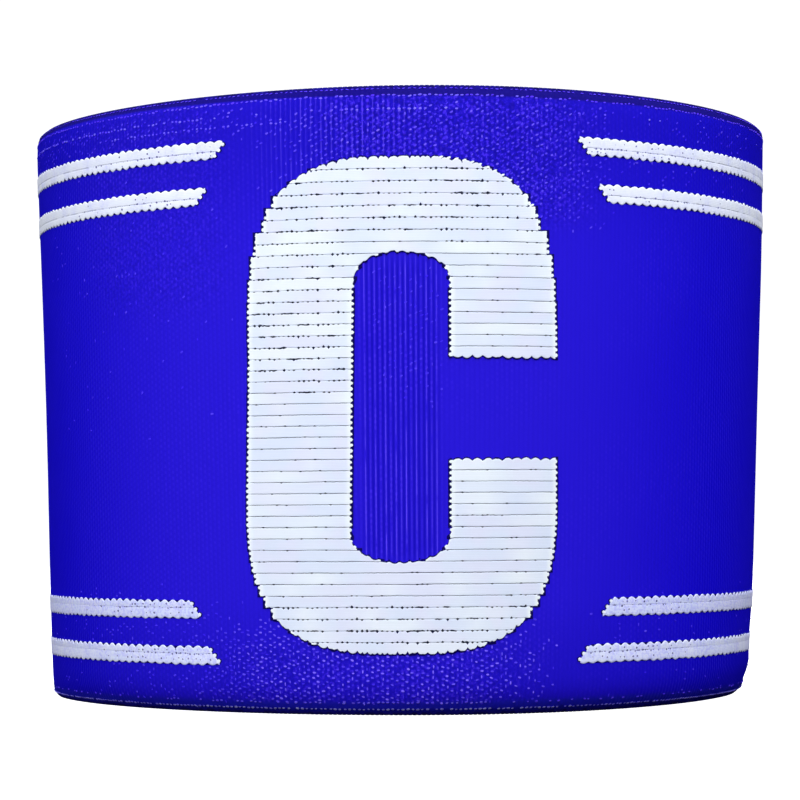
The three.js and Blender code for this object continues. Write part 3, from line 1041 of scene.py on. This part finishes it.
class Nodes:
    """A material's node tree, with short calls for the nodes that are used here."""

    def __init__(self, name):
        self.material = bpy.data.materials.new(name)
        self.material.use_nodes = True
        self.tree = self.material.node_tree
        self.shader = self.tree.nodes["Principled BSDF"]

    def socket(self, target, value):
        if isinstance(value, bpy.types.NodeSocket):
            self.tree.links.new(value, target)
        else:
            target.default_value = value

    def new(self, kind, *values):
        """A new node, with its first inputs set."""
        node = self.tree.nodes.new(kind)
        for target, value in zip(node.inputs, values):
            self.socket(target, value)
        return node

    def math(self, operation, *values):
        node = self.new("ShaderNodeMath", *values)
        node.operation = operation
        return node.outputs[0]

    def chain(self, operation, first, *others):
        for other in others:
            first = self.math(operation, first, other)
        return first

    def times(self, *values):
        return self.chain("MULTIPLY", *values)

    def plus(self, *values):
        return self.chain("ADD", *values)

    def most(self, *values):
        return self.chain("MAXIMUM", *values)

    def apart(self, first, second):
        return self.math("ABSOLUTE", self.math("SUBTRACT", first, second))

    def steps(self, value, low, high):
        """0 below low and 1 above high, smooth between. low may be the greater of the two."""
        node = self.new("ShaderNodeMapRange", value, low, high, 0, 1)
        node.interpolation_type = "SMOOTHSTEP"
        return node.outputs[0]

    def within(self, value, *ends):
        """1 inside a range and 0 outside. Each end says where it is 0 and where it is 1."""
        return self.times(*(self.steps(value, zero, one) for zero, one in ends))

    def noise(self, vector, scale, detail=1):
        node = self.new("ShaderNodeTexNoise", vector)
        node.inputs["Scale"].default_value = scale
        node.inputs["Detail"].default_value = detail
        return node.outputs["Fac"]

    def join(self, x, y, z):
        return self.new("ShaderNodeCombineXYZ", x, y, z).outputs[0]

    def cell(self, first, second):
        """A random value for each pair of whole numbers."""
        pair = self.join(first, second, 0)
        return self.new("ShaderNodeTexWhiteNoise", pair).outputs["Value"]

    def mix(self, factor, first, second):
        node = self.new("ShaderNodeMix")
        node.data_type = "RGBA"
        sockets = [i for i in node.inputs if i.type == "RGBA"]
        self.socket(node.inputs[0], factor)
        for target, value in zip(sockets, (first, second)):
            self.socket(target, (*value, 1) if isinstance(value, tuple) else value)
        return next(o for o in node.outputs if o.type == "RGBA")

    def place(self):
        """Place in the object, its turn in ribs from the front, and its height in mm."""
        where = self.new("ShaderNodeTexCoord").outputs["Object"]
        split = self.new("ShaderNodeSeparateXYZ", where)
        turn = self.math("ARCTAN2", split.outputs["X"], self.times(split.outputs["Y"], -1))
        height = self.math("DIVIDE", split.outputs["Z"], MM)
        return where, self.times(turn, RIBS / (2 * math.pi)), height

    def tone(self):
        node = self.new("ShaderNodeAttribute")
        node.attribute_name = "tone"
        return node.outputs["Fac"]

    def finish(self, colour, height, depth, strength, roughness, sheen=0):
        """Sets the shader. depth is how deep the bump is in mm."""
        bump = self.new("ShaderNodeBump")
        bump.inputs["Strength"].default_value = strength
        bump.inputs["Distance"].default_value = depth * MM
        self.socket(bump.inputs["Height"], height)
        self.socket(self.shader.inputs["Normal"], bump.outputs[0])
        self.socket(self.shader.inputs["Base Color"], colour)
        self.socket(self.shader.inputs["Roughness"], roughness)
        self.shader.inputs["Specular IOR Level"].default_value = 0.06
        self.shader.inputs["Sheen Weight"].default_value = sheen
        self.shader.inputs["Sheen Roughness"].default_value = 0.4
        return self.material


BLUE = (0.0165, 0.0058, 0.63)
# The sides' purer blue. The greyer BLUE across the front is a painted reflection of the front
# light.
BLUE_SIDE = (0.005, 0.001, 0.61)
# Painted shade on the webbing: in the rib valleys, toward the top and bottom and over the rough
# stretches. It is also the seam thread's darker tone.
BLUE_DEEP = (0.004, 0.001, 0.42)
# Painted shade in the pits of the rough stretches
BLUE_PIT_SHADE = (0.004, 0.001, 0.27)
# Used for the painted highlight spots on the crests, for light flecks and for the stitches' darker
# tone
BLUE_CREST = (0.085, 0.032, 0.96)
# Painted highlight along the rib crests
BLUE_RIDGE_HIGHLIGHT = (0.12, 0.07, 0.93)
# Painted shade along the upper rim, and NAVY_EDGE along the lower one
NAVY = (0.004, 0.001, 0.16)
NAVY_EDGE = (0.008, 0.008, 0.43)
STRIPE_FLECK = (0.43, 0.45, 0.95)
BETWEEN_THREADS = (0.50, 0.54, 0.70)
FLOOR_COLOURS = (0.93, 0.93, 0.93), (0.88, 0.88, 0.88)

# The dark and the light colour of each yarn
YARNS = {
    # Painted shadow round the letter, in its notches and round the stripes
    "shadow_navy": ((0.002, 0.001, 0.06), (0.003, 0.001, 0.13)),
    # Painted shade in the gaps between the letter's rows
    "line_shade_dark": ((0.007, 0.010, 0.027), (0.011, 0.014, 0.036)),
    # Painted shade in the line between a stripe's two rows
    "stripe_line": ((0.09, 0.10, 0.26), (0.14, 0.15, 0.34)),
    "stripe_dark": ((0.06, 0.06, 0.22), (0.20, 0.20, 0.48)),
    "selvedge_loops": ((0.003, 0.001, 0.09), (0.006, 0.003, 0.22)),
    # The light stitch colour is partly the yarn's own, partly painted highlight
    "selvedge_stitches": (BLUE_CREST, (0.46, 0.46, 1.0)),
    "float_blue": ((0.028, 0.009, 0.75), (0.23, 0.155, 1.0)),
    "seam_thread": (BLUE_DEEP, BLUE),
}

# The common colour of each white, a warmer one in patches, and a bright one where the yarn turns
LETTER_WHITES = (0.665, 0.74, 0.905), (0.69, 0.73, 0.905), (0.79, 0.86, 0.93)
STRIPE_WHITES = (0.63, 0.69, 0.98), (0.66, 0.69, 0.98), (0.79, 0.84, 0.98)


def webbing_zones(n, along, height):
    """Where the webbing's face is rough, and where its ribs catch the light."""
    above = n.within(height, (53, 58))
    over_right = n.times(above, n.within(along, (-12, -3), (26, 14)))
    over_left = n.times(above, n.within(along, (-19, -8), (4, -3)))
    below = n.times(n.within(height, (9.5, 6)), n.within(along, (-28, -16), (20, 8)))
    beside = n.times(
        n.within(height, (42, 50)), n.within(along, (-46, -36), (-16, -26)))
    in_counter = n.times(
        n.within(height, (15, 19), (52, 49)), n.within(along, (-5, -3.4), (5, 3.4)))
    rough = n.most(over_right, n.times(below, 0.6), n.times(beside, 0.35))
    lively = n.most(in_counter, n.times(over_left, 0.6))
    return rough, lively


def webbing_material():
    """Ribs with floats staggered on them. Painted highlights on their crests in patches, painted
    shade in their valleys, toward the top and bottom, over the rough stretches and along both navy
    rims, and a painted reflection that greys the front."""
    n = Nodes("webbing_blue")
    where, ribs, height = n.place()
    along = n.times(ribs, RIB)
    rough, lively = webbing_zones(n, along, height)
    patches = n.noise(where, 90, 2)
    grain = n.noise(where, 4200)
    speckle = n.noise(where, 2800, 2)

    column = n.math("ROUND", ribs)
    odd = n.math("FLOORED_MODULO", column, 2)
    across = n.apart(ribs, column)
    crest = n.steps(across, 0.34, 0.1)
    picks = n.plus(n.math("DIVIDE", height, PICK), n.times(odd, -0.5))
    pick = n.math("ROUND", picks)
    spot = n.times(crest, n.steps(n.apart(picks, pick), 0.4, 0.1))
    spot_share = n.plus(n.times(lively, 0.2), n.times(rough, 0.45), 0.1)
    # Painted highlight spots on the rib crests, in patches
    spot_light = n.times(spot, n.cell(column, pick), n.steps(patches, 0.36, 0.6), spot_share)
    rib_share = n.plus(n.times(n.cell(column, 0), 0.45), n.times(odd, 0.45), 0.08)
    streak = n.steps(n.noise(n.join(column, 0, height), 0.4, 2), 0.3, 0.6)
    halfway = n.within(height, (28, 35), (49, 42))
    duller = n.math("SUBTRACT", 1, n.times(halfway, 0.45))
    # Painted highlight streaks along the rib crests
    rib_light = n.times(n.steps(across, 0.13, 0.03), streak, rib_share, lively, duller)

    # Painted reflection: greyer blue across the front, purer blue toward the sides
    body = n.mix(n.steps(n.apart(along, -4), 18, 50), BLUE, BLUE_SIDE)
    # Painted shade in the valleys between the ribs, deeper where the face is lively
    valley_shade = n.times(n.steps(across, 0.14, 0.42), n.plus(n.times(lively, 0.72), 0.1))
    # Painted shade in dark pits between the floats where the face is rough
    pit = n.times(n.steps(speckle, 0.52, 0.38), rough, 0.65)
    fleck = n.times(n.steps(speckle, 0.54, 0.7), rough, 0.5)
    from_top = n.math("SUBTRACT", BAND_HEIGHT, height)
    layers = (
        (valley_shade, BLUE_DEEP),
        # Painted shade toward the top
        (n.times(n.steps(height, 50, 68), 0.5), BLUE_DEEP),
        # Painted shade toward the bottom
        (n.times(n.steps(height, 14, 4), 0.42), BLUE_DEEP),
        # Painted shade between the floats over the rough stretches
        (n.times(rough, 0.3), BLUE_DEEP),
        (pit, BLUE_PIT_SHADE),
        (fleck, BLUE_CREST),
        (rib_light, BLUE_RIDGE_HIGHLIGHT),
        (spot_light, BLUE_CREST),
        # Painted shade along the upper rim
        (n.times(n.steps(from_top, 1.25, 0.95), 0.92), NAVY),
        # Painted shade along the lower rim
        (n.times(n.steps(height, 1.7, 1), 0.95), NAVY_EDGE),
    )
    for share, colour in layers:
        body = n.mix(share, body, colour)

    relief = n.plus(n.times(spot, 0.6), n.times(grain, 0.5), n.times(crest, 0.3))
    roughness = n.plus(0.6, n.times(patches, 0.2))
    return n.finish(body, relief, 0.05, 0.35, roughness)


def white_material(name, plain, warm, bright, mottle):
    """Flat filament yarn: fine threads along the rows, pale patches and whiter ends. mottle
    is how far it is flecked with blue where it isn't whiter."""
    n = Nodes(name)
    where, ribs, height = n.place()
    threads = n.math("SINE", n.times(height, 2 * math.pi / 0.19))
    grain = n.noise(where, 3500)
    body = n.mix(n.steps(n.noise(where, 260, 2), 0.4, 0.62), plain, warm)
    flecks = n.times(n.steps(n.noise(where, 3200), 0.44, 0.62), mottle)
    body = n.mix(flecks, body, STRIPE_FLECK)
    body = n.mix(n.steps(n.tone(), 0.35, 0.95), body, bright)
    shade = n.times(n.steps(threads, 0.2, -1), grain, 0.12)
    body = n.mix(shade, body, BETWEEN_THREADS)
    relief = n.plus(n.times(threads, 0.35), grain)
    roughness = n.plus(0.5, n.times(grain, 0.3))
    return n.finish(body, relief, 0.02, 0.3, roughness, sheen=0.1)


def yarn_material(name, dark, light):
    """Twisted yarn between two colours, chosen by the tone of each stitch."""
    n = Nodes(name)
    where, ribs, height = n.place()
    grain = n.noise(where, 1800)
    twist = n.math("SINE", n.plus(n.times(height, 30), n.times(ribs, 14)))
    body = n.mix(n.tone(), dark, light)
    body = n.mix(n.times(n.steps(grain, 0.4, 0.7), 0.3), body, dark)
    relief = n.plus(grain, n.times(twist, 0.2))
    roughness = n.plus(0.65, n.times(grain, 0.25))
    return n.finish(body, relief, 0.02, 0.3, roughness)


def floor_material():
    n = Nodes("pale_floor")
    cloud = n.noise(n.new("ShaderNodeTexCoord").outputs["Object"], 3, 2)
    colour = n.mix(n.times(cloud, 0.1), *FLOOR_COLOURS)
    n.shader.inputs["Emission Color"].default_value = (1, 1, 1, 1)
    n.shader.inputs["Emission Strength"].default_value = SURROUND
    return n.finish(colour, cloud, 0.05, 0.05, 0.9)


# Stage: a pale floor, soft lights and the camera

FLOOR_REACH = 3.0
FLOOR_GAP = 0.12  # below the lowest point of the band, in mm
LIGHTS_TARGET = Vector((0, 0, 0.035))


def make_floor():
    mesh = bpy.data.meshes.new("floor")
    ends = (-FLOOR_REACH, FLOOR_REACH)
    corners = [(x, y, 0) for x in ends for y in ends]
    mesh.from_pydata(corners, [], [(0, 2, 3, 1)])
    mesh.materials.append(floor_material())
    floor = add_object("floor", mesh)
    floor.location.z = -(LOWER_SAG + FLOOR_GAP) * MM
    floor.visible_diffuse = False
    floor.visible_glossy = False


def make_light(name, place, size, power):
    lamp = bpy.data.lights.new(name, "AREA")
    lamp.shape = "DISK"
    lamp.size = size
    lamp.energy = power
    made = add_object(name, lamp)
    made.location = place
    made.rotation_euler = (LIGHTS_TARGET - Vector(place)).to_track_quat("-Z", "Y").to_euler()
    made.visible_camera = False


def make_lights():
    make_light("key_front", (0, -0.42, 0.36), 0.3, 2.28)
    make_light("fill_front", (0.12, -0.69, 0.1), 0.4, 1.85)
    make_light("side_left", (-0.36, 0.02, 0.34), 0.25, 0.56)
    make_light("low_left", (-0.6, -0.3, 0.1), 0.3, 1.6)
    make_light("side_right", (0.38, -0.06, 0.34), 0.25, 1.14)
    make_light("back", (0, 0.9, 0.5), 0.6, 7)
    make_light("top", (0, 0, 1.1), 1.0, 3)


def make_surround():
    """White all round, seen by the camera and through nothing else."""
    world = bpy.data.worlds.new("white_surround")
    world.use_nodes = True
    background = world.node_tree.nodes["Background"]
    background.inputs["Color"].default_value = (1, 1, 1, 1)
    background.inputs["Strength"].default_value = SURROUND
    bpy.context.scene.world = world
    world.cycles_visibility.diffuse = False
    world.cycles_visibility.glossy = False
    world.cycles_visibility.transmission = False
    world.cycles_visibility.scatter = False
    bpy.context.scene.view_settings.view_transform = "Standard"


CAMERA_DISTANCE = 356.4  # from the tube's axis
CAMERA_HEIGHT = 21.15
CAMERA_PITCH = 2.53
CAMERA_ROLL = -0.381
CAMERA_YAW = 0.018
LENS = 126.04
SENSOR = 36


def make_camera():
    data = bpy.data.cameras.new("camera")
    data.lens = LENS
    data.sensor_width = SENSOR
    data.clip_start = 0.01
    camera = add_object("camera", data)
    turn = (
        Matrix.Rotation(math.radians(CAMERA_YAW), 4, "Z")
        @ Matrix.Rotation(math.radians(90 + CAMERA_PITCH), 4, "X")
        @ Matrix.Rotation(math.radians(CAMERA_ROLL), 4, "Z")
    )
    place = Vector((0, -CAMERA_DISTANCE * MM, CAMERA_HEIGHT * MM))
    camera.matrix_world = Matrix.Translation(place) @ turn
    bpy.context.scene.camera = camera


make_camera()
make_lights()
make_surround()
make_floor()

yarns = {name: yarn_material(name, *colours) for name, colours in YARNS.items()}
webbing = webbing_piece(webbing_material())
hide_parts("band_webbing")
letter_piece(white_material("letter_white", *LETTER_WHITES, mottle=0.0))
letter_shade_piece(yarns["shadow_navy"])
line_shade_piece(yarns["line_shade_dark"])
stripe_pieces(white_material("stripe_white", *STRIPE_WHITES, mottle=0.65), yarns["shadow_navy"])
stripe_line_shade_piece(yarns["stripe_line"])
stripe_dots_piece(yarns["stripe_dark"])
floats_piece(yarns["float_blue"])
selvedge_pieces(yarns["selvedge_loops"], yarns["selvedge_stitches"])
seam_piece(yarns["seam_thread"])
